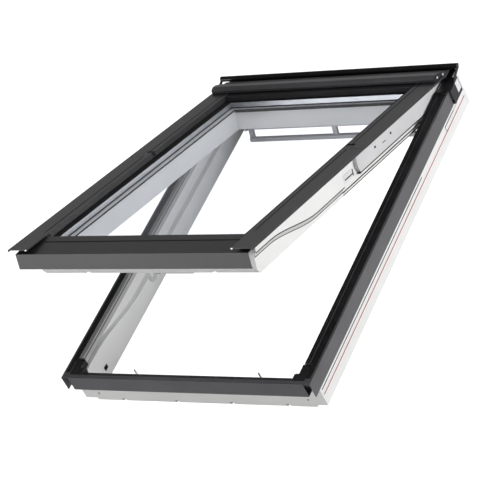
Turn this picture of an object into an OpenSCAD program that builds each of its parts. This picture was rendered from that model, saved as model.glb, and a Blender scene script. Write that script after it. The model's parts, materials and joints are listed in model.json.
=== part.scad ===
// Top-hung roof window whose sash also turns about a pivot at mid height.
// It lies on the underside of its frame: +Z points out of the roof,
// +Y up the slope to the top hinge, +X to the right seen from outside.
// Every piece is drawn with the window shut, y measured from the outer face
// of the bottom rail and z from the underside. The modules row() and
// opened() then centre the origin and raise the sash to its opening angle.

/* [Frame] */
// Width over the side rails
frame_w = 780; // [620:10:1140]
// Length over the top and bottom rails
frame_l = 1178; // [1000:2:1400]
// Width of the rails
rail_w = 45; // [40:1:55]
// Top of the side rails above the underside
rail_top = 124; // [120:1:126]
// Thickness of the rail wall beside the sash
rail_wall = 28; // [24:1:30]
// Height of the lip under the rails
lip_h = 10; // [6:1:14]
// Top of the bottom rail where the sash lies on it
sill_top = 44; // [36:1:46]

/* [Sash] */
// Opening angle the sash stands at
open_angle = 20; // [0:1:40]
// Clearance between the sash and the side rails
sash_gap = 5; // [4:1:7]
// Height of the sash's inner face above the underside
sash_bottom = 48; // [47:1:52]
// Thickness of the sash
sash_t = 86; // [80:1:87]
// Width of the sash's side rails
stile_w = 52; // [46:1:60]
// Width of the sash's bottom rail
bottom_rail_w = 64; // [54:1:80]
// Width of the sash's top rail
top_rail_w = 87; // [75:1:100]

/* [Glass] */
// Thickness of each pane
pane_t = 4; // [3:0.5:6]
// Gap between the panes
pane_gap = 15; // [10:1:16]

/* [Claddings] */
// Thickness of the aluminium sheet
sheet_t = 1.5; // [1:0.1:1.8]
// Height of the frame cladding's outer face
clad_h = 48; // [40:1:56]
// How far the side claddings stand out from the rails
clad_side = 8; // [5:1:14]
// How far the bottom cladding stands out from the bottom rail
clad_front = 33; // [25:1:45]
// Width of the covers over the sash's side rails
cover_w = 64; // [58:1:70]
// Height of the bottom cover's front face
cover_face_h = 44; // [36:1:46]

/* [Hinges] */
// Distance of the top hinge from the frame's top end
hinge_back = 43.5; // [42:0.5:50]
// Height of the top hinge above the underside
hinge_z = 114; // [112:1:116]
// Radius of the hinge pins
pin_r = 5; // [4:0.5:6]
// Distance of the sash pivots from the frame's bottom end
pivot_y = 600; // [540:5:680]

/* [Control bar] */
// Half of the control bar's length
bar_half = 300; // [150:5:315]
// Drop of the bar below the sash's inner face
bar_drop = 68; // [50:1:72]

/* [Hidden] */

// Allowance by which a cutter passes a face, and the gap left between
// pieces that lie against each other.
cut = 1;
gap = 0.3;
running = 0.05;

half_w = frame_w / 2;
open_half = half_w - rail_w;
wall_half = half_w - rail_wall;
clad_half = half_w + clad_side;
clad_top = rail_top + 4;
clad_low = clad_top - clad_h;
clad_inner = wall_half - 8;
casing_rear = frame_l + 2;
casing_half = clad_half + 7;
origin_y = (casing_rear - clad_front) / 2;
hinge_y = frame_l - hinge_back;

sash_top = sash_bottom + sash_t;
sash_half = open_half - sash_gap;
sash_y0 = 20;
sash_y1 = hinge_y - 34.5;

glass_bed = sash_top - 22;
glass_half = sash_half - 22;
glass_y0 = sash_y0 + 22;
glass_y1 = sash_y1 - top_rail_w + 24;
seal_t = 1;
inner_pane_z = glass_bed + seal_t;
spacer_z = inner_pane_z + pane_t;
outer_pane_z = spacer_z + pane_gap;
glass_top = outer_pane_z + pane_t;
bead_t = 1.5;
bead_top = glass_top + 0.2 + bead_t;

cover_half = sash_half - 20 + cover_w;
cover_top = sash_top + 18;
cover_inner = cover_half - cover_w;
cover_foot = bead_top + 1;
cover_edge = cover_top - 6;

// The sash turns about a pin a little below the covers. The seam of the
// covers steps there so that the turning half passes the standing half.
pivot_drop = 8;
pivot_z = cover_top - pivot_drop;
pivot_r = 3.5;
pivot_max = 120;
seam = 3;
seam_back = 22;
seam_split = sash_half + 4;
seam_ahead = pivot_drop * tan(pivot_max / 2) + 0.6;

arm_in = sash_half + 3;
arm_t = 9;
arm_out = arm_in + arm_t;
arm_low = 78;
arm_high = cover_top - sheet_t - 0.5;
eye_r = 15;

// ---- placing ----
module row() {
    translate([0, -origin_y, 0]) children();
}
module opened() {
    row()
        translate([0, hinge_y, hinge_z])
            rotate([-open_angle, 0, 0])
                translate([0, -hinge_y, -hinge_z])
                    children();
}
module right_and_left() {
    children();
    mirror([1, 0, 0]) children();
}
module side(s) {
    if (s > 0) children();
    else mirror([1, 0, 0]) children();
}

// ---- drawing helpers ----
// Box between two corners.
module block(a, b) {
    translate(a) cube(b - a);
}
// Rectangular ring between an outer and an inner rectangle.
module ring_block(outer_half, outer_y0, outer_y1, inset, z0, z1) {
    difference() {
        block([-outer_half, outer_y0, z0], [outer_half, outer_y1, z1]);
        block([-outer_half + inset, outer_y0 + inset, z0 - cut],
            [outer_half - inset, outer_y1 - inset, z1 + cut]);
    }
}
// Outline of [y, z] points, drawn as a prism from x0 to x1.
module prism_x(x0, x1) {
    translate([x0, 0, 0])
        rotate([90, 0, 90])
            linear_extrude(height = x1 - x0) children();
}
// Outline of [x, z] points, drawn as a prism from y0 to y1.
module prism_y(y0, y1) {
    translate([0, y1, 0])
        rotate([90, 0, 0])
            linear_extrude(height = y1 - y0) children();
}
// Cylinder along X.
module rod_x(x0, x1, y, z, r) {
    translate([x0, y, z])
        rotate([0, 90, 0])
            cylinder(h = x1 - x0, r = r, $fn = 48);
}
// Outline of a bent sheet of thickness t to the left of a run of points.
function unit(v) = v / norm(v);
function turned(v) = [-v[1], v[0]];
function edge_normal(p, i) = turned(unit(p[i + 1] - p[i]));
function corner_normal(p, i) =
    i == 0 ? edge_normal(p, 0)
    : i == len(p) - 1 ? edge_normal(p, i - 1)
    : let (a = edge_normal(p, i - 1), b = edge_normal(p, i)) (a + b) / (1 + a * b);
function bent(p, t) =
    concat(p, [for (i = [len(p) - 1:-1:0]) p[i] + t * corner_normal(p, i)]);
function smooth(t) = let (u = max(0, min(1, t))) u * u * (3 - 2 * u);
function stations(a, b, n) = [for (i = [0:n]) a + (b - a) * i / n];
function arc(cy, cz, r, a0, a1, n) =
    [for (i = [0:n]) let (a = a0 + (a1 - a0) * i / n) [cy + r * cos(a), cz + r * sin(a)]];

// Ledge on the side rails that the sash's flange closes on: high near the
// bottom rail, lower towards the pivot.
ledge_high = 107;
ledge_low = 72;
ledge_a = 90;
ledge_b = 345;
ledge_n = 14;
flange_gap = 4;
flange_half = wall_half - 12;
flange_end = pivot_y - 100;
function ledge_z(y) = ledge_high - (ledge_high - ledge_low) * smooth((y - ledge_a) / (ledge_b - ledge_a));
function flange_z(y) = ledge_z(y) + flange_gap;

// ---- fixed frame ----
upstand_y = 8;
keep_x = 200;
keep_y = 32;
keep_r = 2.5;
keep_top = 94;
upstand_top = 100;
lining_h = 35;
lining_d = 11;
lip_t = 6;
lip_in = 26;
lip_y = 12;
front_lip_y = 2;
front_lip_in = 36;
notch_x = [-265, -89, 89, 265];
notch_w = 9;
fix_hole_x = half_w - 52;
fix_hole_z = 29;
fix_hole_r = 3.5;
groove_z = 60;
groove_h = 3;
groove_d = 4;
groove_gap = [frame_l - 374, frame_l - 173];
bush_y = 80;
bush_z = 47;
bush_r = 6;
bush_depth = 24;
recess_z = 96;
recess_back = 12;
hinge_screw_yz = [[hinge_y - 24, 104], [hinge_y - 24, 118], [hinge_y + 24, 106]];
hinge_screw_r = 2;

module ledge_cut() {
    ys = concat(
        [upstand_y, ledge_a],
        stations(ledge_a + 16, ledge_b, ledge_n),
        [frame_l - rail_w]);
    prism_x(-wall_half, wall_half)
        polygon(concat(
            [for (y = ys) [y, ledge_z(y)]],
            [[frame_l - rail_w, rail_top + cut], [upstand_y, rail_top + cut]]));
}
module bottom_rail_cut() {
    // The bottom rail is low behind its upstand, where the sash lies on it.
    block([-open_half, upstand_y, sill_top], [open_half, rail_w + cut, rail_top + cut]);
    block([-wall_half, -cut, upstand_top], [wall_half, upstand_y + cut, rail_top + cut]);
}
module frame_lip() {
    right_and_left()
        block([half_w - lip_in - lip_t, lip_y, 0], [half_w - lip_in, frame_l - lip_y, lip_h + cut]);
    block([-half_w + lip_in + cut, frame_l - lip_y - lip_t, 0],
        [half_w - lip_in - cut, frame_l - lip_y, lip_h + cut]);
    difference() {
        block([-half_w + front_lip_in, front_lip_y, 0],
            [half_w - front_lip_in, front_lip_y + lip_t, lip_h + cut]);
        for (x = notch_x)
            translate([x, 0, 0])
                prism_y(0, front_lip_y + lip_t + cut)
                    polygon([[-notch_w, lip_h], [0, lip_h], [notch_w, -cut], [0, -cut]]);
    }
}
module frame() {
    color("white") row() difference() {
        union() {
            block([-half_w, 0, lip_h], [half_w, frame_l, rail_top]);
            frame_lip();
        }
        block([-open_half, rail_w, -cut], [open_half, frame_l - rail_w, rail_top + cut]);
        block([-open_half - lining_d, rail_w - lining_d, lip_h - cut],
            [open_half + lining_d, frame_l - rail_w + lining_d, lining_h]);
        ledge_cut();
        bottom_rail_cut();
        // Room over the top rail for the hinges and the turning hood.
        block([-wall_half, frame_l - rail_w - cut, recess_z],
            [wall_half, frame_l - recess_back, rail_top + cut]);
        for (x = [-fix_hole_x, fix_hole_x])
            translate([x, -cut, fix_hole_z])
                rotate([-90, 0, 0])
                    cylinder(h = rail_w + 2 * cut, r = fix_hole_r, $fn = 32);
        right_and_left() {
            block([half_w - groove_d, upstand_y, groove_z],
                [half_w + cut, groove_gap[0], groove_z + groove_h]);
            block([half_w - groove_d, groove_gap[1], groove_z],
                [half_w + cut, frame_l - 63, groove_z + groove_h]);
            block([half_w - groove_d, groove_gap[1], groove_z - 14],
                [half_w + cut, groove_gap[1] + 4, groove_z + cut]);
            rod_x(open_half - cut, open_half + bush_depth, bush_y, bush_z, bush_r + running);
            for (p = hinge_screw_yz)
                rod_x(wall_half - cut, wall_half + 14, p[0], p[1], hinge_screw_r + running);
        }
    }
}

// ---- cladding of the frame ----
clad_end = frame_l - 94;
clad_leg = 3;
front_strip = 13;
front_w = 21;
corner_y1 = 36;
module side_cladding(s) {
    color("dimgray") row() side(s) {
        prism_y(corner_y1 + 2, clad_end)
            polygon(bent([
                [half_w + gap, clad_low], [clad_half, clad_low], [clad_half, clad_top],
                [clad_inner, clad_top], [clad_inner, clad_top - clad_leg]], sheet_t));
        // Past the corner block the sheet is narrow, open at its lower end.
        prism_y(-clad_front, corner_y1 + 2 + cut)
            polygon(bent([
                [clad_half, clad_low], [clad_half, clad_top], [clad_half - front_w, clad_top]],
                sheet_t));
    }
}
module bottom_cladding() {
    color("dimgray") row()
        prism_x(-clad_half + front_w + gap * 2, clad_half - front_w - gap * 2)
            polygon(bent([
                [-gap, clad_low], [-clad_front, clad_low], [-clad_front, clad_top],
                [-clad_front + front_strip, clad_top],
                [-clad_front + front_strip, clad_top - clad_leg]], -sheet_t));
}

// ---- seals and corner pieces of the frame ----
corner_in = wall_half - 11;
corner_reach = wall_half - 24;
corner_out = clad_half - front_w - gap * 2;
corner_y0 = -clad_front + front_strip + 2.5;
corner_top = clad_top - 0.5;
module side_gasket(s) {
    color("black") row() side(s)
        prism_y(corner_y1 + 2.3, clad_end - gap)
            polygon([
                [clad_inner + sheet_t + gap, rail_top], [clad_inner + sheet_t + gap, rail_top - 14],
                [wall_half - gap, rail_top - 14], [wall_half - gap, rail_top]]);
}
module bottom_gasket() {
    color("black") row()
        prism_x(-corner_reach + gap, corner_reach - gap)
            polygon([
                [upstand_y, upstand_top + gap], [upstand_y, upstand_top + 5],
                [0, upstand_top + 12], [-10, upstand_top + 18], [-12, upstand_top + 18],
                [-4, upstand_top + gap]]);
}
module corner_block(s) {
    low = ledge_high + gap;
    color("black") row() side(s) {
        prism_x(corner_reach, wall_half - gap)
            polygon([
                [corner_y0, upstand_top + 8], [-4, upstand_top + gap],
                [upstand_y + gap, upstand_top + gap], [upstand_y + gap, low], [upstand_y + 2, low],
                [upstand_y + 2, corner_top - 6], [upstand_y - 6, corner_top],
                [corner_y0, corner_top]]);
        block([corner_in, upstand_y + gap, low], [wall_half - gap, corner_y1, corner_top]);
        block([corner_in, corner_y0, rail_top + gap], [corner_out, corner_y1, corner_top]);
    }
}

// ---- fixed casing over the top rail ----
roll_r = 8.5;
roll_y = casing_rear - roll_r;
roll_z = hinge_z + 36;
casing_low = 82;
end_t = 2;
// The roll over the frame's top end, with a skirt down the back of the frame.
module top_casing() {
    color("dimgray") row() {
        prism_x(-casing_half + end_t + gap, casing_half - end_t - gap)
            polygon(bent(
                concat(arc(roll_y, roll_z, roll_r, 240, 0, 16), [[casing_rear, roll_z - roll_r]]),
                -sheet_t));
        block([-half_w + 2, casing_rear - sheet_t, casing_low], [half_w - 2, casing_rear, roll_z]);
    }
}
// Back edge of the end pieces, which leave the frame's top corners bare.
end_back = frame_l - 32;
module casing_end(s) {
    color("dimgray") row() side(s) {
        prism_y(clad_end + gap, end_back)
            polygon(bent([
                [half_w + gap, casing_low], [casing_half, casing_low],
                [casing_half, clad_top + 1], [wall_half, clad_top + 1]], end_t));
        prism_x(casing_half - end_t, casing_half)
            polygon(concat(
                [[clad_end + gap, casing_low], [end_back, casing_low],
                    [end_back, roll_z - roll_r - 5], [roll_y, roll_z - roll_r]],
                arc(roll_y, roll_z, roll_r, 0, 180, 12),
                [[end_back - 8, roll_z - 5], [end_back - 30, clad_top + 1],
                    [clad_end + gap, clad_top + 1]]));
    }
}
module cladding_clips() {
    color("black") row() right_and_left()
        block([clad_half - 18, clad_end - 17, clad_top + gap], [clad_half - 3, clad_end - 2, clad_top + 6]);
}

// ---- fittings fixed to the frame ----
plate_t = 5.5;
plate_in = wall_half - gap - plate_t;
module hinge_plate(s) {
    color("silver") row() side(s) difference() {
        block([plate_in, hinge_y - 32, 98], [wall_half - gap, hinge_y + 31, rail_top]);
        rod_x(plate_in - cut, wall_half, hinge_y, hinge_z, pin_r + running);
        for (p = hinge_screw_yz)
            rod_x(plate_in - cut, wall_half, p[0], p[1], hinge_screw_r + running);
    }
}
module hinge_pins() {
    color("silver") row() right_and_left() {
        rod_x(arm_in - gap, wall_half - gap * 2, hinge_y, hinge_z, pin_r);
        rod_x(arm_in - gap - 2, arm_in - gap, hinge_y, hinge_z, pin_r + 2.5);
    }
}
module hinge_screws() {
    color("silver") row() right_and_left()
        for (p = hinge_screw_yz) {
            rod_x(plate_in, wall_half + 12, p[0], p[1], hinge_screw_r);
            rod_x(plate_in - 1.6, plate_in, p[0], p[1], hinge_screw_r * 2);
        }
}
keep_w = 24;
module lock_keeps() {
    color("silver") row()
        for (x = [-keep_x, keep_x]) {
            block([x - keep_w / 2, keep_y - 8, sill_top + gap], [x + keep_w / 2, keep_y + 10, sill_top + 3]);
            translate([x, keep_y, sill_top + 2])
                cylinder(h = keep_top - sill_top - 2, r = keep_r, $fn = 32);
        }
}
module bolt_bushes() {
    color("black") row() right_and_left() difference() {
        union() {
            rod_x(open_half, open_half + bush_depth - 1, bush_y, bush_z, bush_r);
            block([open_half - 1.8, bush_y - 8, bush_z - 6], [open_half - gap, bush_y + 8, bush_z + 6]);
            rod_x(open_half - 1, open_half + 1, bush_y, bush_z, bush_r);
        }
        rod_x(open_half - 3, open_half + bush_depth - 4, bush_y, bush_z, bush_r - 2);
    }
}
module pivot_keep(s) {
    color("black") row() side(s)
        prism_x(open_half - 2.3, open_half - gap)
            polygon([
                [403, 70], [403, 58], [411, 47], [424, 42], [436, 45], [443, 54],
                [443, 62], [435, 65], [429, 57], [420, 55], [414, 61], [414, 70]]);
}

// ---- arms and the covers they carry ----
module arm(s) {
    color("white") opened() side(s) difference() {
        union() {
            prism_x(arm_in, arm_out)
                polygon([
                    [pivot_y - 16, arm_low + 18], [pivot_y - 6, arm_low], [hinge_y - 52, arm_low],
                    [hinge_y - 12, hinge_z - eye_r + 3], [hinge_y, hinge_z],
                    [hinge_y - 2, hinge_z + eye_r - 1], [hinge_y - 34, arm_high],
                    [pivot_y - 5, arm_high], [pivot_y - 16, arm_high - 18]]);
            rod_x(arm_in, arm_out, hinge_y, hinge_z, eye_r);
        }
        rod_x(arm_in - cut, arm_out + cut, hinge_y, hinge_z, pin_r + running);
        rod_x(arm_in - cut, arm_out + cut, pivot_y, pivot_z, pivot_r + running);
    }
}
module arm_gasket(s) {
    color("black") opened() side(s)
        block([arm_in + 1, pivot_y - 12, arm_low - 4], [arm_out - 1, hinge_y - 60, arm_low - gap]);
}
module pivot_pins() {
    color("silver") opened() right_and_left()
        rod_x(sash_half - 14, arm_out, pivot_y, pivot_z, pivot_r);
}
foot_in = 4;
hood_front = hinge_y - 80;
module cover_sheet(y0, y1, x1) {
    edge = x1 < cover_half ? cover_top - sheet_t - gap : cover_edge;
    prism_y(y0, y1)
        polygon(bent([
            [cover_inner - foot_in, cover_foot], [cover_inner, cover_top],
            [x1, cover_top], [x1, edge]], -sheet_t));
}
module upper_cover(s) {
    color("dimgray") opened() side(s) {
        cover_sheet(pivot_y + seam_ahead, hinge_y - 24, cover_half);
        block([seam_split + 1, pivot_y - seam_back + seam, cover_top - sheet_t],
            [cover_half, pivot_y + seam_ahead + cut, cover_top]);
        block([cover_half - sheet_t, pivot_y - seam_back + seam, cover_edge],
            [cover_half, pivot_y + seam_ahead + cut, cover_top]);
    }
}
hood_half = cover_half - 6;
hood_t = 2;
hood_r = hood_t + 39.2;
hood_line = concat(
    [[hood_front, cover_top + 0.5], [hood_front - 2, cover_top + 8], [hood_front + 2, cover_top + 14],
        [hood_front + 11, cover_top + 18], [hood_front + 25, cover_top + 18],
        [hood_front + 45, cover_top + 13], [hinge_y - 18, cover_top + 6]],
    arc(hinge_y, hinge_z, hood_r, 98, 68, 6));
hood_screw_yz = [[hood_front + 13, cover_top + 9], [hood_front + 49, cover_top + 5]];
hood_screw_r = 2;
lug_w = 12;
module hood() {
    color("dimgray") opened() {
        prism_x(-hood_half, hood_half) polygon(bent(hood_line, -hood_t));
        right_and_left() difference() {
            union() {
                block([hood_half - lug_w, hood_front + 8, cover_top + 3],
                    [hood_half, hood_front + 18, cover_top + 17]);
                block([hood_half - lug_w, hood_front + 44, cover_top + 0.6],
                    [hood_half, hood_front + 54, cover_top + 10.5]);
            }
            for (p = hood_screw_yz)
                rod_x(hood_half - lug_w - cut, hood_half + cut, p[0], p[1], hood_screw_r + running);
        }
    }
}
module hood_bracket(s) {
    color("dimgray") opened() side(s) difference() {
        prism_x(hood_half + gap, hood_half + end_t)
            polygon(concat(
                hood_line,
                [[hinge_y + 10, hinge_z + 35], [hinge_y - 16, hinge_z + 26],
                    [hinge_y - 22, hinge_z + 26], [hinge_y - 22, cover_top + 0.5]]));
        for (p = hood_screw_yz)
            rod_x(hood_half, hood_half + 3, p[0], p[1], hood_screw_r + running);
    }
}
module hood_screws() {
    color("silver") opened() right_and_left()
        for (p = hood_screw_yz) {
            rod_x(hood_half - lug_w + 2, hood_half + end_t, p[0], p[1], hood_screw_r);
            rod_x(hood_half + end_t, hood_half + end_t + 1.4, p[0], p[1], hood_screw_r * 1.8);
        }
}

// ---- sash ----
sash_toe = 13;
module sash() {
    ys = concat([sash_y0, ledge_a], stations(ledge_a + 16, ledge_b, ledge_n), [flange_end]);
    color("white") opened() difference() {
        union() {
            block([-sash_half, sash_y0, sash_bottom], [sash_half, sash_y1, sash_top]);
            prism_x(-flange_half, flange_half)
                polygon(concat(
                    [for (y = ys) [y, flange_z(y)]],
                    [[flange_end, sash_top], [sash_y0, sash_top]]));
        }
        block([-sash_half + stile_w, sash_y0 + bottom_rail_w, sash_bottom - cut],
            [sash_half - stile_w, sash_y1 - top_rail_w, sash_top + cut]);
        block([-glass_half - 2, glass_y0 - 2, glass_bed], [glass_half + 2, glass_y1 + 2, sash_top + cut]);
        // The lower front edge is cut away at 45 degrees to shed water.
        prism_x(-sash_half - cut, sash_half + cut)
            polygon([[sash_y0 - cut, sash_bottom + sash_toe + cut],
                [sash_y0 + sash_toe + cut, sash_bottom - cut], [sash_y0 - cut, sash_bottom - cut]]);
        // Pockets that the keeps on the bottom rail enter as the sash shuts.
        for (x = [-keep_x, keep_x])
            block([x - 8, keep_y - 5, sash_bottom - cut], [x + 8, keep_y + 12, keep_top + 6]);
    }
}
module glazing_seal() {
    color("dimgray") opened()
        ring_block(glass_half, glass_y0, glass_y1, 16, glass_bed + 0.1, inner_pane_z - 0.1);
}
module inner_pane() {
    color("lightblue") opened()
        block([-glass_half, glass_y0, inner_pane_z], [glass_half, glass_y1, spacer_z]);
}
spacer_w = 9;
edge_w = 6;
module spacer() {
    color("gray") opened()
        ring_block(glass_half - edge_w, glass_y0 + edge_w, glass_y1 - edge_w,
            spacer_w, spacer_z + 0.1, outer_pane_z - 0.1);
}
module edge_seal() {
    color("black") opened()
        ring_block(glass_half, glass_y0, glass_y1, edge_w - 0.1, spacer_z + 0.1, outer_pane_z - 0.1);
}
module outer_pane() {
    color("lightblue") opened()
        block([-glass_half, glass_y0, outer_pane_z], [glass_half, glass_y1, glass_top]);
}
module glazing_gasket() {
    color("black") opened()
        ring_block(glass_half, glass_y0, glass_y1, 24, glass_top + 0.2, bead_top);
}
nose_y = -clad_front - 9;
cover_front = -clad_front - 5;
strip_y = glass_y0 + 24;
module lower_cover(s) {
    color("dimgray") opened() side(s) {
        cover_sheet(strip_y, pivot_y - seam_back, cover_half);
        cover_sheet(pivot_y - seam_back - cut, pivot_y, seam_split - 1);
        // Past the glass the sheet lies over the bottom cover.
        prism_y(nose_y, strip_y + cut)
            polygon(bent([
                [cover_inner, cover_top - 3.5], [cover_inner, cover_top],
                [cover_half, cover_top], [cover_half, cover_edge]], -sheet_t));
    }
}
module bottom_cover() {
    color("dimgray") opened()
        prism_x(-cover_half + 18, cover_half - 18)
            polygon(bent([
                [glass_y0 + 16, cover_foot], [glass_y0 + 11, cover_top - 5],
                [cover_front, cover_top - 15], [cover_front, cover_top - 15 - cover_face_h],
                [cover_front + 5, cover_top - 15 - cover_face_h]], sheet_t));
}
module sash_top_cover() {
    color("dimgray") opened()
        prism_x(-cover_inner + 6, cover_inner - 6)
            polygon(bent([
                [glass_y1 - 14, cover_foot], [glass_y1 - 8, cover_top - 2],
                [sash_y1 + gap + sheet_t, cover_top - 2], [sash_y1 + gap + sheet_t, sash_top - 16]],
                -sheet_t));
}
module sash_gasket(s) {
    ys = concat([sash_y0 + 2, ledge_a], stations(ledge_a + 16, ledge_b, ledge_n), [flange_end - 2]);
    n = len(ys) - 1;
    color("black") opened() side(s) {
        prism_x(sash_half + gap, flange_half - 1)
            polygon(concat(
                [for (i = [0:n]) [ys[i], flange_z(ys[i]) - gap]],
                [for (i = [n:-1:0]) [ys[i], flange_z(ys[i]) - 3]]));
        prism_x(sash_half + gap, sash_half + 2)
            polygon(concat(
                [for (i = [0:n]) [ys[i], flange_z(ys[i]) - gap]],
                [for (i = [n:-1:0]) [ys[i], flange_z(ys[i]) - 14]]));
    }
}

// ---- fittings on the sash ----
module pivot_housing(s) {
    color("black") opened() side(s) difference() {
        block([sash_half - 17, pivot_y - 14, sash_top + gap],
            [sash_half + 1.5, pivot_y + 13, cover_top - sheet_t - 0.5]);
        rod_x(sash_half - 14.5, sash_half + 3, pivot_y, pivot_z, pivot_r + running);
    }
}
catch_r = 11;
catch_y = [pivot_y - 81, pivot_y - 36];
catch_z = 88;
module catch_plate(s) {
    color("black") opened() side(s) difference() {
        union() {
            for (y = catch_y)
                rod_x(sash_half + gap, sash_half + 2, y, catch_z, catch_r);
            block([sash_half + gap, catch_y[0], catch_z - catch_r],
                [sash_half + 2, catch_y[1], catch_z + catch_r]);
        }
        block([sash_half + 1.2, catch_y[0], catch_z - 5], [sash_half + 3, catch_y[1], catch_z + 5]);
    }
}
vent_low = sash_bottom - 15;
vent_half = bar_half + 12;
vent_y0 = sash_y1 - 42;
bar_y = sash_y1 - 20;
axle_z = 25;
axle_r = 3;
bar_z = sash_bottom - bar_drop;
module vent_housing() {
    color("silver") opened() difference() {
        union() {
            block([-vent_half, vent_y0, vent_low], [vent_half, sash_y1 - 2, sash_bottom - gap]);
            right_and_left()
                block([bar_half + 4, bar_y - 8, axle_z - 8], [vent_half, bar_y + 8, vent_low + cut]);
        }
        right_and_left()
            rod_x(bar_half + 3, bar_half + 9, bar_y, axle_z, axle_r + running);
    }
}
module control_bar() {
    color("silver") opened() {
        block([-bar_half, bar_y - 5, axle_z - 5], [bar_half, bar_y + 5, axle_z + 5]);
        prism_x(-bar_half, bar_half)
            polygon([
                [bar_y - 8, bar_z + 2], [bar_y - 5, bar_z], [bar_y + 5, bar_z],
                [bar_y + 8, bar_z + 2], [bar_y + 8, bar_z + 11], [bar_y + 5, bar_z + 14],
                [bar_y - 5, bar_z + 14], [bar_y - 8, bar_z + 11]]);
        for (x = [-bar_half + 8, 0, bar_half - 8])
            block([x - 8, bar_y - 4, bar_z + 7], [x + 8, bar_y + 4, axle_z]);
        right_and_left()
            rod_x(bar_half - cut, bar_half + 8, bar_y, axle_z, axle_r);
    }
}
handle_y = 71;
handle_len = 110;
foot_t = 8;
lever_t = 8;
lever_top = sash_bottom - foot_t - 2;
spindle_r = 4;
module handle_base() {
    color("silver") opened() difference() {
        block([-34, handle_y - 12, sash_bottom - foot_t], [34, handle_y + 12, sash_bottom - gap]);
        translate([0, handle_y, sash_bottom - foot_t - cut])
            cylinder(h = foot_t - 1, r = spindle_r + running, $fn = 48);
    }
}
module handle_lever() {
    color("silver") opened() {
        translate([0, handle_y, lever_top - lever_t])
            cylinder(h = lever_t + 1.5, r = 10, $fn = 48);
        translate([0, handle_y, lever_top - 1])
            cylinder(h = 7.5, r = spindle_r, $fn = 48);
        block([0, handle_y - 7, lever_top - lever_t], [handle_len, handle_y + 7, lever_top]);
    }
}

frame();
side_cladding(-1);  // side_cladding_left
side_cladding(1);  // side_cladding_right
bottom_cladding();
side_gasket(-1);  // side_gasket_left
side_gasket(1);  // side_gasket_right
bottom_gasket();
corner_block(-1);  // corner_block_left
corner_block(1);  // corner_block_right
top_casing();
casing_end(-1);  // casing_end_left
casing_end(1);  // casing_end_right
cladding_clips();
hinge_plate(-1);  // hinge_plate_left
hinge_plate(1);  // hinge_plate_right
hinge_pins();
hinge_screws();
lock_keeps();
bolt_bushes();
pivot_keep(-1);  // pivot_keep_left
pivot_keep(1);  // pivot_keep_right
arm(-1);  // arm_left
arm(1);  // arm_right
arm_gasket(-1);  // arm_gasket_left
arm_gasket(1);  // arm_gasket_right
pivot_pins();
upper_cover(-1);  // upper_cover_left
upper_cover(1);  // upper_cover_right
hood();
hood_bracket(-1);  // hood_bracket_left
hood_bracket(1);  // hood_bracket_right
hood_screws();
sash();
glazing_seal();
inner_pane();
spacer();
edge_seal();
outer_pane();
glazing_gasket();
lower_cover(-1);  // lower_cover_left
lower_cover(1);  // lower_cover_right
bottom_cover();
sash_top_cover();
sash_gasket(-1);  // sash_gasket_left
sash_gasket(1);  // sash_gasket_right
catch_plate(-1);  // catch_plate_left
catch_plate(1);  // catch_plate_right
pivot_housing(-1);  // pivot_housing_left
pivot_housing(1);  // pivot_housing_right
vent_housing();
control_bar();
handle_base();
handle_lever();
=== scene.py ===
import json
import math

import bpy
from mathutils import Matrix, Vector


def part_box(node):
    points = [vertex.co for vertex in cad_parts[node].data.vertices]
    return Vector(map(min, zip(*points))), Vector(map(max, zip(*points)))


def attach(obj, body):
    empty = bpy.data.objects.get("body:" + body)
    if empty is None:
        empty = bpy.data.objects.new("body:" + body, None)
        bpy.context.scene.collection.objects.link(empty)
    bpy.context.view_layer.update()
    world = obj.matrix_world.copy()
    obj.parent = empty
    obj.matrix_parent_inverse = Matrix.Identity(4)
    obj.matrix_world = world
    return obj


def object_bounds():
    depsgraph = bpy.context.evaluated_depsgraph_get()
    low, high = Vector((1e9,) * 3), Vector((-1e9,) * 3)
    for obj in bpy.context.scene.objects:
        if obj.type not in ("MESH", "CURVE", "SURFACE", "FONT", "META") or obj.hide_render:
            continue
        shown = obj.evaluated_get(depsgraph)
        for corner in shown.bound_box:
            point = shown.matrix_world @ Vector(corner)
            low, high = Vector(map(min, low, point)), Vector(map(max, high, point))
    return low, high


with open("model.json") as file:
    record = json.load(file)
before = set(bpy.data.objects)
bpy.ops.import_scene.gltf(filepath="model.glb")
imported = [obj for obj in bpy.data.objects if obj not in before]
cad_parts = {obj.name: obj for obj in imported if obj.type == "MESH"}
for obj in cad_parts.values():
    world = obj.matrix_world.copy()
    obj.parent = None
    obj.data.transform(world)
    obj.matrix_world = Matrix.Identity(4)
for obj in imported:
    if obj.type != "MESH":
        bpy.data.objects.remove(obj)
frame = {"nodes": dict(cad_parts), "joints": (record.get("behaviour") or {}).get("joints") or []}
cad_low, cad_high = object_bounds()


# --- The view ------------------------------------------------------------
# A long lens looks down on the opened window from in front and to its right,
# as at a window that lies on a low studio table. The view is tilted sideways.
lens = bpy.data.cameras.new("studio_view")
lens.lens = 170.05
lens.sensor_width = 36.0
lens.clip_start = 0.1
lens.clip_end = 60.0
stand = Vector((3.3833, -3.8725, 3.9143))
aim = Vector((0.0176, -0.1503, 0.2))
tilt = math.radians(-28.935)
view = bpy.data.objects.new("studio_view", lens)
towards = (aim - stand).to_track_quat("-Z", "Y").to_matrix().to_4x4()
view.matrix_world = Matrix.Translation(stand) @ towards @ Matrix.Rotation(tilt, 4, "Z")
bpy.context.scene.collection.objects.link(view)
bpy.context.scene.camera = view
bpy.context.scene.view_settings.view_transform = "Standard"


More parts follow.
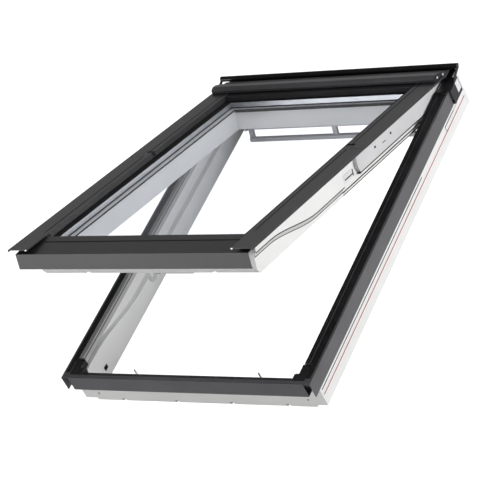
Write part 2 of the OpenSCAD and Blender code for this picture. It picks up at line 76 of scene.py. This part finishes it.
# --- The studio ----------------------------------------------------------
# A sweep of white paper lit to pure white, a large soft box to the right, a
# low one in front on the left and a dim one overhead; the air is dark above.
bpy.ops.object.select_all(action="DESELECT")
bpy.ops.mesh.primitive_plane_add(size=24, location=(0, 0, cad_low.z - 0.002))
floor = bpy.context.object
floor.name = "studio_floor"
paper = bpy.data.materials.new("studio_paper")
paper.use_nodes = True
sheet = paper.node_tree
matt = sheet.nodes["Principled BSDF"]
matt.inputs["Base Color"].default_value = (0.88, 0.88, 0.88, 1)
matt.inputs["Roughness"].default_value = 0.9
lit = sheet.nodes.new("ShaderNodeEmission")
lit.inputs["Strength"].default_value = 1.25
ray = sheet.nodes.new("ShaderNodeLightPath")
either = sheet.nodes.new("ShaderNodeMath")
either.operation = "MAXIMUM"
sheet.links.new(ray.outputs["Is Camera Ray"], either.inputs[0])
sheet.links.new(ray.outputs["Is Transmission Ray"], either.inputs[1])
choose = sheet.nodes.new("ShaderNodeMixShader")
sheet.links.new(either.outputs[0], choose.inputs["Fac"])
sheet.links.new(matt.outputs[0], choose.inputs[1])
sheet.links.new(lit.outputs[0], choose.inputs[2])
sheet.links.new(choose.outputs[0], sheet.nodes["Material Output"].inputs["Surface"])
floor.data.materials.append(paper)

air = bpy.data.worlds.new("studio_air")
air.use_nodes = True
dome = air.node_tree
heading = dome.nodes.new("ShaderNodeTexCoord")
parts = dome.nodes.new("ShaderNodeSeparateXYZ")
dome.links.new(heading.outputs["Generated"], parts.inputs[0])
fade = dome.nodes.new("ShaderNodeMath")
fade.operation = "MULTIPLY"
upwards = ("Z", 1.3, 0.12, 0.0, 0.5)
backwards = ("Y", 1.0, 0.6, -0.6, 0.6)
for number, (axis, near, far, start, end) in enumerate((upwards, backwards)):
    dimming = dome.nodes.new("ShaderNodeMapRange")
    dimming.interpolation_type = "SMOOTHSTEP"
    dimming.inputs["From Min"].default_value = start
    dimming.inputs["From Max"].default_value = end
    dimming.inputs["To Min"].default_value = near
    dimming.inputs["To Max"].default_value = far
    dome.links.new(parts.outputs[axis], dimming.inputs["Value"])
    dome.links.new(dimming.outputs["Result"], fade.inputs[number])
dome.links.new(fade.outputs[0], dome.nodes["Background"].inputs["Strength"])
dome.nodes["Background"].inputs["Color"].default_value = (1, 1, 1, 1)
bpy.context.scene.world = air


def soft_box(name, place, width, height, power):
    lamp = bpy.data.lights.new(name, "AREA")
    lamp.shape = "RECTANGLE"
    lamp.size = width
    lamp.size_y = height
    lamp.energy = power
    box = bpy.data.objects.new(name, lamp)
    box.location = place
    box.rotation_euler = (Vector((0, 0, 0.2)) - Vector(place)).to_track_quat("-Z", "Y").to_euler()
    bpy.context.scene.collection.objects.link(box)


soft_box("soft_box_right", (4.2, 0.8, 0.9), 3.0, 1.6, 115)
soft_box("soft_box_front", (-2.2, -3.6, 0.6), 3.2, 1.2, 40)
soft_box("soft_box_top", (0.6, -0.6, 4.4), 2.0, 2.0, 20)


# --- The frame -----------------------------------------------------------
# Four rails foamed in one mould over a timber core, with a white skin. The
# skin has the mould's fine grain, and its edges are painted a little darker.
def new_finish(name):
    made = bpy.data.materials.new(name)
    made.use_nodes = True
    place = made.node_tree.nodes.new("ShaderNodeTexCoord").outputs["Object"]
    return made, made.node_tree, made.node_tree.nodes["Principled BSDF"], place


def speckle(tree, place, scale, detail=3.0, stretch=None):
    if stretch:
        turn = tree.nodes.new("ShaderNodeMapping")
        turn.inputs["Scale"].default_value = stretch
        tree.links.new(place, turn.inputs["Vector"])
        place = turn.outputs["Vector"]
    noise = tree.nodes.new("ShaderNodeTexNoise")
    noise.inputs["Scale"].default_value = scale
    noise.inputs["Detail"].default_value = detail
    tree.links.new(place, noise.inputs["Vector"])
    return noise.outputs["Fac"]


def between(tree, source, low, high, start=0.35, end=0.65):
    ramp = tree.nodes.new("ShaderNodeMapRange")
    ramp.inputs["From Min"].default_value = start
    ramp.inputs["From Max"].default_value = end
    ramp.inputs["To Min"].default_value = low
    ramp.inputs["To Max"].default_value = high
    tree.links.new(source, ramp.inputs["Value"])
    return ramp.outputs["Result"]


def tint(tree, amount, first, second):
    mix = tree.nodes.new("ShaderNodeMix")
    mix.data_type = "RGBA"
    tree.links.new(amount, mix.inputs["Factor"])
    paints = [socket for socket in mix.inputs if socket.type == "RGBA"]
    for paint, value in zip(paints, (first, second)):
        if isinstance(value, tuple):
            paint.default_value = (*value, 1)
        else:
            tree.links.new(value, paint)
    return [socket for socket in mix.outputs if socket.type == "RGBA"][0]


# A patchy mask of edges and inner corners from the Bevel node, for a colour painted along them.
def painted_edge_mask(tree, place, radius, most):
    rounded = tree.nodes.new("ShaderNodeBevel")
    rounded.samples = 4
    rounded.inputs["Radius"].default_value = radius
    flat = tree.nodes.new("ShaderNodeNewGeometry")
    bend = tree.nodes.new("ShaderNodeVectorMath")
    bend.operation = "DOT_PRODUCT"
    tree.links.new(rounded.outputs["Normal"], bend.inputs[0])
    tree.links.new(flat.outputs["Normal"], bend.inputs[1])
    sharp = between(tree, bend.outputs["Value"], most, 0.0, 0.82, 0.99)
    edge_paint = between(tree, speckle(tree, place, 60.0), 0.2, 1.0)
    both = tree.nodes.new("ShaderNodeMath")
    both.operation = "MULTIPLY"
    tree.links.new(sharp, both.inputs[0])
    tree.links.new(edge_paint, both.inputs[1])
    return both.outputs[0]


def relief(tree, shader, height, depth):
    bump = tree.nodes.new("ShaderNodeBump")
    bump.inputs["Distance"].default_value = depth
    tree.links.new(height, bump.inputs["Height"])
    tree.links.new(bump.outputs["Normal"], shader.inputs["Normal"])


def surface(
        name, deep, pale, rough, depth, grain, detail=3.0, stretch=None, patches=None, painted_edges=None, more=()):
    """Roughness and relief follow the grain, and so does the colour, unless it goes in broader patches.
    painted_edges gives the colour, width and strength painted on the edges; more gives other sockets their
    constants."""
    made, tree, shader, place = new_finish(name)
    fine = speckle(tree, place, grain, detail, stretch)
    broad = speckle(tree, place, patches) if patches else fine
    coat = tint(tree, between(tree, broad, 0.0, 1.0), deep, pale)
    if painted_edges:
        edge_paint, width, most = painted_edges
        coat = tint(tree, painted_edge_mask(tree, place, width, most), coat, edge_paint)
    tree.links.new(coat, shader.inputs["Base Color"])
    tree.links.new(between(tree, fine, *rough), shader.inputs["Roughness"])
    relief(tree, shader, fine, depth)
    for socket, value in more:
        shader.inputs[socket].default_value = value
    return made


def dress(finish, *names):
    for name in names:
        for slot in frame["nodes"][name].material_slots:
            slot.material = finish


white_skin = surface(
    "white_skin", deep=(0.80, 0.80, 0.79), pale=(0.85, 0.85, 0.84), rough=(0.40, 0.55), depth=0.00006,
    grain=900.0, detail=2.0, patches=5.0, painted_edges=((0.60, 0.60, 0.59), 0.002, 0.6))
dress(white_skin, "frame")


# --- The cords along the frame -------------------------------------------
# A red locating cord is pressed along each outer side of the frame. The groove
# over it is real; the black rubber strip in it, except where the bracket goes,
# is painted shade.
hands = (("left", -1), ("right", 1))
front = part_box("frame")[0].y
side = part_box("frame")[1].x


def strip(name, low, high, round_by, finish, body):
    bpy.ops.object.select_all(action="DESELECT")
    low, high = Vector(low), Vector(high)
    bpy.ops.mesh.primitive_cube_add(size=1, location=(low + high) / 2, scale=high - low)
    bpy.ops.object.transform_apply(location=True, rotation=True, scale=True)
    piece = bpy.context.object
    piece.name = name
    bpy.ops.object.mode_set(mode="EDIT")
    bpy.ops.mesh.select_all(action="SELECT")
    bpy.ops.mesh.bevel(offset=round_by, segments=2, affect="EDGES")
    bpy.ops.object.mode_set(mode="OBJECT")
    piece.data.materials.append(finish)
    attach(piece, body)
    return piece


def strip_pair(name, inner, outer, start, end, low, high, round_by, finish, body):
    """One strip on the right, from inner to outer, and its mirror image on the left."""
    pieces = []
    for hand, way in hands:
        near, far = sorted((way * inner, way * outer))
        pieces.append(strip(f"{name}_{hand}", (near, start, low), (far, end, high), round_by, finish, body))
    return pieces


red_cord = surface(
    "red_cord", deep=(0.42, 0.05, 0.06), pale=(0.55, 0.09, 0.10), rough=(0.5, 0.7), depth=0.00005,
    grain=400.0)
rubber = surface(
    "black_rubber", deep=(0.010, 0.010, 0.011), pale=(0.020, 0.020, 0.021), rough=(0.50, 0.68),
    depth=0.00005, grain=500.0, patches=25.0, more=(("Specular IOR Level", 0.2),))

strip_pair(
    "red_cord", inner=side + 0.0002, outer=side + 0.0011, start=front + 0.008, end=front + 1.161,
    low=0.0438, high=0.0462, round_by=0.0003, finish=red_cord, body="frame_body")
# Painted shade: black strips in the groove above the red cord.
for part, start, end in (("low", 0.010, 0.802), ("high", 1.007, 1.080)):
    for cord in strip_pair(
            f"groove_seal_{part}", inner=side - 0.0025, outer=side + 0.0006, start=front + start,
            end=front + end, low=0.0600, high=0.0630, round_by=0.0006, finish=rubber, body="frame_body"):
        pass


# --- The claddings of the frame ------------------------------------------
# Aluminium sheet folded over the rails and lacquered grey. The lacquer has a
# faint fleck, and its folded edges are painted lighter as a highlight. It is a
# lighter copy of the covers' lacquer: painted light.
lacquer = dict(
    rough=(0.34, 0.44), depth=0.00003, grain=1400.0, detail=2.0, patches=7.0,
    painted_edges=((0.13, 0.13, 0.14), 0.0012, 0.55), more=(("Specular IOR Level", 0.6),))
lacquer_painted_lit = surface("lacquer_painted_lit", deep=(0.104, 0.104, 0.110), pale=(0.124, 0.122, 0.130), **lacquer)
dress(lacquer_painted_lit, "side_cladding_left", "side_cladding_right", "bottom_cladding")


# --- The seals of the frame ----------------------------------------------
# Black rubber profiles pushed into the rails. Along each side three ridges
# stand beside a flat band on the cladding, with grey flock towards the sash.
flock = surface(
    "grey_flock", deep=(0.34, 0.34, 0.34), pale=(0.55, 0.55, 0.54), rough=(0.8, 1.0), depth=0.0002,
    grain=1500.0, detail=2.0, more=(("Sheen Weight", 0.3),))
dress(flock, "side_gasket_left", "side_gasket_right")
dress(rubber, "bottom_gasket")

clad_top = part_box("side_cladding_right")[1]
ridge_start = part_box("side_gasket_right")[0].y
ridge_end = clad_top.y - 0.002
for part, inner, start, end in (
        ("long", 0.3715, ridge_start, ridge_end), ("end", 0.3775, front - 0.012, ridge_start)):
    for band in strip_pair(
            f"side_seal_{part}", inner=inner, outer=0.3915, start=start, end=end, low=clad_top.z,
            high=clad_top.z + 0.0007, round_by=0.0002, finish=rubber, body="frame_body"):
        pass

ridge_r, ridge_flat, ridge_rise = 0.0031, 0.75, 0.0018
for hand, way in hands:
    for number, at in enumerate((0.3575, 0.3635, 0.3695)):
        bpy.ops.object.select_all(action="DESELECT")
        bpy.ops.mesh.primitive_cylinder_add(
            vertices=3, radius=ridge_r, depth=ridge_end - ridge_start,
            location=(way * at, (ridge_start + ridge_end) / 2, clad_top.z + ridge_rise),
            rotation=(math.radians(90), 0, 0), scale=(1, ridge_flat, 1))
        ridge = bpy.context.object
        ridge.name = f"side_ridge_{number + 1}_{hand}"
        bpy.ops.object.transform_apply(location=True, rotation=True, scale=True)
        bpy.ops.object.mode_set(mode="EDIT")
        bpy.ops.mesh.select_all(action="SELECT")
        bpy.ops.mesh.bevel(offset=0.0003, segments=1, affect="EDGES")
        bpy.ops.object.mode_set(mode="OBJECT")
        ridge.data.materials.append(rubber)
        ridge.data.materials.append(flock)
        for face in ridge.data.polygons:
            if face.normal.x * way < -0.3:
                face.material_index = 1
        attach(ridge, "frame_body")


# --- The corner blocks ---------------------------------------------------
# Moulded black plastic pieces that close the corners between the claddings.
# They come off the tool with a spark-eroded texture and a soft sheen.
black_plastic = surface(
    "black_plastic", deep=(0.009, 0.009, 0.010), pale=(0.016, 0.016, 0.017), rough=(0.36, 0.50),
    depth=0.00008, grain=1100.0, detail=2.0, patches=30.0)
dress(black_plastic, "corner_block_left", "corner_block_right", "cladding_clips")


# --- The top casing ------------------------------------------------------
# A black sheet rolled over the frame's top end, with an apron on the rail and
# a folded end piece at each side. The right one carries a blank white film.
# The black lacquer's edges are painted lighter, as a highlight.
black_lacquer = surface(
    "black_lacquer", deep=(0.010, 0.010, 0.012), pale=(0.016, 0.016, 0.018), rough=(0.26, 0.36),
    depth=0.00003, grain=1400.0, detail=2.0, patches=7.0, painted_edges=((0.08, 0.08, 0.09), 0.0012, 0.5))
# Painted shade: a darker copy of the claddings' lacquer, with the same painted edge highlight, for the casing
# ends and the sash covers.
lacquer_painted_shaded = surface("lacquer_painted_shaded", deep=(0.022, 0.022, 0.025), pale=(0.029, 0.028, 0.032), **lacquer)
dress(black_lacquer, "top_casing")
dress(lacquer_painted_shaded, "casing_end_left", "casing_end_right")
rail_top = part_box("frame")[1].z
strip(
    "casing_apron", (0.006 - side, front + 1.150, rail_top + 0.0002),
    (side - 0.006, front + 1.1775, rail_top + 0.0014),
    round_by=0.0003, finish=black_lacquer, body="frame_body")

film = surface(
    "white_film", deep=(0.72, 0.73, 0.75), pale=(0.84, 0.84, 0.85), rough=(0.25, 0.45), depth=0.0001,
    grain=120.0)
end_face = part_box("casing_end_right")[1].x
strip(
    "blank_film", (end_face, front + 1.1205, 0.0930), (end_face + 0.0004, front + 1.1435, 0.1280),
    round_by=0.0001, finish=film, body="frame_body")


# --- The hinges ----------------------------------------------------------
# Zinc-plated steel plates screwed inside the side rails, each with a turned
# pin for the arm's eye. The plating is finely scratched along its length.
zinc = surface(
    "zinc_plate", deep=(0.48, 0.48, 0.47), pale=(0.66, 0.66, 0.65), rough=(0.22, 0.42), depth=0.00002,
    grain=260.0, detail=4.0, stretch=(1.0, 0.08, 1.0), more=(("Metallic", 1.0),))
dress(zinc, "hinge_plate_left", "hinge_plate_right", "hinge_pins", "hinge_screws")
dress(black_plastic, "bolt_bushes")


# --- The arms ------------------------------------------------------------
# Pressed steel arms with a baked light grey coat, as the keeps of the pivots
# have. Two dark screws and a slot in each arm hold the spring inside it.
# The coat's edges are painted darker.
grey_coat = surface(
    "grey_coat", deep=(0.60, 0.60, 0.61), pale=(0.66, 0.66, 0.67), rough=(0.35, 0.48), depth=0.00006,
    grain=500.0, detail=2.0, patches=9.0, painted_edges=((0.34, 0.34, 0.34), 0.0015, 0.5))
dress(grey_coat, "arm_left", "arm_right", "pivot_keep_left", "pivot_keep_right")
dress(rubber, "arm_gasket_left", "arm_gasket_right")
dress(zinc, "pivot_pins")
hinge = Vector((0, *frame["joints"][0]["pos_m"][1:]))
opened = math.radians(20)


def raise_to_opening(piece):
    """Turns a piece made in the shut window's place up to the opening, about the top hinge."""
    bpy.ops.object.select_all(action="DESELECT")
    piece.select_set(True)
    bpy.context.view_layer.objects.active = piece
    bpy.ops.transform.rotate(value=opened, orient_axis="X", center_override=hinge)
    bpy.ops.object.transform_apply(location=True, rotation=True, scale=True)


dark_steel = surface(
    "blackened_steel", deep=(0.02, 0.02, 0.02), pale=(0.05, 0.05, 0.05), rough=(0.35, 0.55),
    depth=0.00005, grain=700.0, more=(("Metallic", 0.6),))
arm_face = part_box("arm_right")[1].x
head_r, head_t, head_z = 0.0034, 0.0016, 0.108
rim, recess = 0.0014, 0.0009
for hand, way in hands:
    for number, along in enumerate((0.694, 0.792)):
        bpy.ops.object.select_all(action="DESELECT")
        bpy.ops.mesh.primitive_cylinder_add(
            vertices=24, radius=head_r, depth=head_t,
            location=(way * (arm_face + head_t / 2), front + along, head_z),
            rotation=(0, math.radians(90), 0))
        head = bpy.context.object
        head.name = f"spring_screw_{number + 1}_{hand}"
        bpy.ops.object.transform_apply(location=True, rotation=True, scale=True)
        bpy.ops.object.mode_set(mode="EDIT")
        bpy.ops.mesh.select_all(action="DESELECT")
        bpy.ops.object.mode_set(mode="OBJECT")
        for face in head.data.polygons:
            face.select = face.normal.x * way > 0.9
        bpy.ops.object.mode_set(mode="EDIT")
        bpy.ops.mesh.inset(thickness=rim)
        bpy.ops.mesh.extrude_region_move(TRANSFORM_OT_translate={"value": (-way * recess, 0, 0)})
        bpy.ops.object.mode_set(mode="OBJECT")
        head.data.materials.append(dark_steel)
        raise_to_opening(head)
        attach(head, "arm_body")
for slot in strip_pair(
        "spring_slot", inner=arm_face, outer=arm_face + 0.0004, start=front + 0.738, end=front + 0.758,
        low=0.0998, high=0.1022, round_by=0.00018, finish=dark_steel, body="arm_body"):
    raise_to_opening(slot)


# --- The hood and the upper covers ---------------------------------------
# The arms carry the upper halves of the side covers and the curved hood over
# the hinge line, lacquered aluminium on black brackets with bright screws.
# Painted light and shade: the upper covers take the darker copy of the lacquer, the hood the lighter one.
dress(lacquer_painted_shaded, "upper_cover_left", "upper_cover_right")
dress(lacquer_painted_lit, "hood")
dress(black_lacquer, "hood_bracket_left", "hood_bracket_right")
bright_screw = surface(
    "bright_screw", deep=(0.82, 0.82, 0.83), pale=(0.92, 0.92, 0.92), rough=(0.25, 0.40), depth=0.00003,
    grain=900.0, more=(("Metallic", 0.25),))
dress(bright_screw, "hood_screws")


# --- The sash ------------------------------------------------------------
# A moulded ring like the frame, closed by the pane unit. A black bead lines
# its inner edge under the glass, with a deeper one along the top rail.
dress(white_skin, "sash", "lock_keeps")
bead_x, top_bead_x = 0.2878, 0.2850
bead_low = Vector((-bead_x, front + 0.0842, 0.1070))
bead_high = Vector((bead_x, front + 1.0128, 0.1116))
bpy.ops.object.select_all(action="DESELECT")
bpy.ops.mesh.primitive_cube_add(size=1, location=(bead_low + bead_high) / 2, scale=bead_high - bead_low)
bpy.ops.object.transform_apply(location=True, rotation=True, scale=True)
bead = bpy.context.object
bead.name = "inner_bead"
bpy.ops.object.mode_set(mode="EDIT")
bpy.ops.mesh.select_mode(type="FACE")
bpy.ops.object.mode_set(mode="OBJECT")
for face in bead.data.polygons:
    face.select = abs(face.normal.z) > 0.9
bpy.ops.object.mode_set(mode="EDIT")
bpy.ops.mesh.delete(type="FACE")
bpy.ops.object.mode_set(mode="OBJECT")
wall = bead.modifiers.new("wall", "SOLIDIFY")
wall.thickness = 0.0022
wall.offset = -1
bpy.ops.object.modifier_apply(modifier="wall")
lip = bead.modifiers.new("lip", "BEVEL")
lip.width = 0.0007
lip.segments = 2
bpy.ops.object.modifier_apply(modifier="lip")
bead.data.materials.append(rubber)
raise_to_opening(bead)
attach(bead, "sash_body")
top_bead = strip(
    "top_bead", (-top_bead_x, bead_high.y - 0.0030, 0.1030),
    (top_bead_x, bead_high.y - 0.0004, bead_low.z - 0.0002),
    round_by=0.0004, finish=rubber, body="sash_body")
raise_to_opening(top_bead)


# --- The pane unit -------------------------------------------------------
# Two sheets of float glass on a folded aluminium spacer filled with drying
# beads, sealed at the rim with black compound. Fine holes prick the spacer.
glass, tree, shader, place = new_finish("window_glass")
shader.inputs["Base Color"].default_value = (0.945, 0.955, 0.975, 1)
shader.inputs["Transmission Weight"].default_value = 1.0
shader.inputs["IOR"].default_value = 1.05
tree.links.new(between(tree, speckle(tree, place, 3.0), 0.0, 0.008), shader.inputs["Roughness"])
clear = tree.nodes.new("ShaderNodeBsdfTransparent")
clear.inputs["Color"].default_value = (0.955, 0.965, 0.975, 1)
ray = tree.nodes.new("ShaderNodeLightPath")
pane = tree.nodes.new("ShaderNodeMixShader")
tree.links.new(ray.outputs["Is Shadow Ray"], pane.inputs["Fac"])
tree.links.new(shader.outputs[0], pane.inputs[1])
tree.links.new(clear.outputs[0], pane.inputs[2])
tree.links.new(pane.outputs[0], tree.nodes["Material Output"].inputs["Surface"])
dress(glass, "inner_pane", "outer_pane")

spacer_foil, tree, shader, place = new_finish("spacer_foil")
shader.inputs["Metallic"].default_value = 0.85
rolled = speckle(tree, place, 350.0, 3.0, (0.1, 0.1, 1.0))
dots = tree.nodes.new("ShaderNodeTexVoronoi")
dots.inputs["Scale"].default_value = 260.0
tree.links.new(place, dots.inputs["Vector"])
pricked = between(tree, dots.outputs["Distance"], 0.6, 1.0, 0.10, 0.22)
foil = tint(tree, between(tree, rolled, 0.0, 1.0), (0.48, 0.49, 0.51), (0.57, 0.58, 0.60))
tree.links.new(tint(tree, pricked, (0.30, 0.30, 0.31), foil), shader.inputs["Base Color"])
tree.links.new(between(tree, rolled, 0.30, 0.48), shader.inputs["Roughness"])
relief(tree, shader, rolled, 0.00003)
dress(spacer_foil, "spacer")
dress(rubber, "edge_seal", "glazing_seal", "glazing_gasket")


# --- The sash covers -----------------------------------------------------
# Lacquered sheets over the pane unit's rim, in the darker copy of the lacquer:
# painted shade. A black strip across the bottom cover is a painted shadow line; a
# seal shows in the groove along each side, and a clip closes each nose.
dress(lacquer_painted_shaded, "lower_cover_left", "lower_cover_right", "bottom_cover", "sash_top_cover")
# Painted shadow: a thin black rubber strip on the bottom cover's top.
shadow_line_x = 0.3125
shadow_line = strip(
    "cover_shadow_line", (-shadow_line_x, front + 0.0235, 0.1430), (shadow_line_x, front + 0.0275, 0.1446),
    round_by=0.0006, finish=rubber, body="sash_body")
raise_to_opening(shadow_line)
cover_top = 0.1520
for part, body, start, end in (("lower", "sash_body", 0.067, 0.577), ("upper", "arm_body", 0.617, 1.108)):
    for groove in strip_pair(
            f"{part}_groove", inner=0.3326, outer=0.3358, start=front + start, end=front + end,
            low=cover_top, high=cover_top + 0.0004, round_by=0.0001, finish=rubber, body=body):
        raise_to_opening(groove)
for clip in strip_pair(
        "nose_clip", inner=0.3210, outer=0.3270, start=front - 0.0428, end=front - 0.0398,
        low=cover_top - 0.0030, high=cover_top + 0.0006, round_by=0.0005, finish=zinc, body="sash_body"):
    raise_to_opening(clip)


# --- The side seals of the sash ------------------------------------------
# A light rubber fin rides along the flange of each stile, between two black
# lips that wipe the frame; two black cords go on along the arms.
fin_rubber = surface(
    "light_rubber", deep=(0.50, 0.50, 0.49), pale=(0.60, 0.60, 0.59), rough=(0.5, 0.7), depth=0.00006,
    grain=450.0)
dress(fin_rubber, "sash_gasket_left", "sash_gasket_right")


def lip_along(name, node, keep, push):
    """Copies the fin's faces that keep() picks and draws them out into a lip."""
    bpy.ops.object.select_all(action="DESELECT")
    fin = frame["nodes"][node]
    mesh = fin.data.copy()
    mesh.transform(fin.matrix_world)
    lip = bpy.data.objects.new(name, mesh)
    bpy.context.scene.collection.objects.link(lip)
    lip.select_set(True)
    bpy.context.view_layer.objects.active = lip
    bpy.ops.object.mode_set(mode="EDIT")
    bpy.ops.mesh.select_mode(type="FACE")
    bpy.ops.mesh.select_all(action="SELECT")
    bpy.ops.mesh.remove_doubles(threshold=0.00001)
    bpy.ops.mesh.select_all(action="DESELECT")
    bpy.ops.object.mode_set(mode="OBJECT")
    for face in mesh.polygons:
        face.select = not keep(face)
    bpy.ops.object.mode_set(mode="EDIT")
    bpy.ops.mesh.delete(type="FACE")
    bpy.ops.mesh.select_all(action="SELECT")
    bpy.ops.mesh.extrude_region_move(TRANSFORM_OT_translate={"value": push})
    bpy.ops.mesh.select_all(action="SELECT")
    bpy.ops.mesh.normals_make_consistent(inside=False)
    bpy.ops.object.mode_set(mode="OBJECT")
    mesh.materials.clear()
    mesh.materials.append(rubber)
    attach(lip, "sash_body")


upper_lip, lower_lip = 0.0008, 0.0022
down_slope = Vector((0, -math.sin(opened), -math.cos(opened)))
fin_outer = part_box("sash_gasket_right")[1].x
fin_root = fin_outer - 0.006
for hand, way in hands:
    node = f"sash_gasket_{hand}"
    lip_along(
        f"upper_lip_{hand}", node,
        lambda face: abs(face.center.x) > fin_outer - 0.0002 and face.normal.x * way > 0.9,
        (way * upper_lip, 0, 0))
    lip_along(
        f"lower_lip_{hand}", node,
        lambda face: (
            abs(face.center.x) < fin_root and face.normal.dot(down_slope) > 0.6 and abs(face.normal.x) < 0.3),
        down_slope * lower_lip)

stile_face = 0.340
for number, (low, high) in enumerate(((0.0568, 0.0602), (0.0496, 0.0520))):
    for cord in strip_pair(
            f"stile_cord_{number + 1}", inner=stile_face, outer=stile_face + 0.0009, start=front + 0.497,
            end=front + 1.040, low=low, high=high, round_by=0.0004, finish=rubber, body="sash_body"):
        raise_to_opening(cord)


# --- The pivots and catches ----------------------------------------------
# A black housing in each stile holds the pivot pin. Under it lies the oval
# catch, a white pressing with a dark bent spring tongue in its recess.
dress(black_plastic, "pivot_housing_left", "pivot_housing_right")
# The catch's coat is painted much darker along its edges, as a dark outline.
catch_coat = surface(
    "catch_coat", deep=(0.68, 0.68, 0.69), pale=(0.78, 0.78, 0.79), rough=(0.35, 0.5), depth=0.00005,
    grain=700.0, painted_edges=((0.12, 0.12, 0.12), 0.0012, 0.9))
dress(catch_coat, "catch_plate_left", "catch_plate_right")
bend = front + 0.566
for name, start, end, low, high, round_by in (
        ("catch_tongue", front + 0.520, bend, 0.0845, 0.0868, 0.0008),
        ("catch_hook", bend, bend + 0.0035, 0.0790, 0.0985, 0.0012)):
    for piece in strip_pair(
            name, inner=0.3413, outer=0.3434, start=start, end=end, low=low, high=high, round_by=round_by,
            finish=dark_steel, body="sash_body"):
        raise_to_opening(piece)


# --- The control bar -----------------------------------------------------
# A grey coated aluminium bar under the sash's top rail, which opens the vent
# flap in its housing. The coat is even, with fine drawing lines underneath.
bar_coat = surface(
    "bar_coat", deep=(0.56, 0.56, 0.58), pale=(0.64, 0.64, 0.66), rough=(0.32, 0.46), depth=0.00003,
    grain=500.0, stretch=(0.05, 1.0, 1.0), more=(("Metallic", 0.3),))
dress(bar_coat, "control_bar", "vent_housing")


# --- The handle ----------------------------------------------------------
# A die-cast lever on a low foot under the bottom rail, in the same grey, with
# the faint cloudiness of a cast surface and its edges painted lighter.
cast_grey, tree, shader, place = new_finish("cast_grey")
clouds = speckle(tree, place, 35.0)
coat = tint(tree, between(tree, clouds, 0.0, 1.0), (0.27, 0.27, 0.28), (0.34, 0.34, 0.35))
shader.inputs["Metallic"].default_value = 0.5
tree.links.new(
    tint(tree, painted_edge_mask(tree, place, 0.0015, 0.7), coat, (0.50, 0.50, 0.50)), shader.inputs["Base Color"])
tree.links.new(between(tree, clouds, 0.30, 0.44), shader.inputs["Roughness"])
relief(tree, shader, speckle(tree, place, 900.0), 0.00004)
dress(cast_grey, "handle_base", "handle_lever")
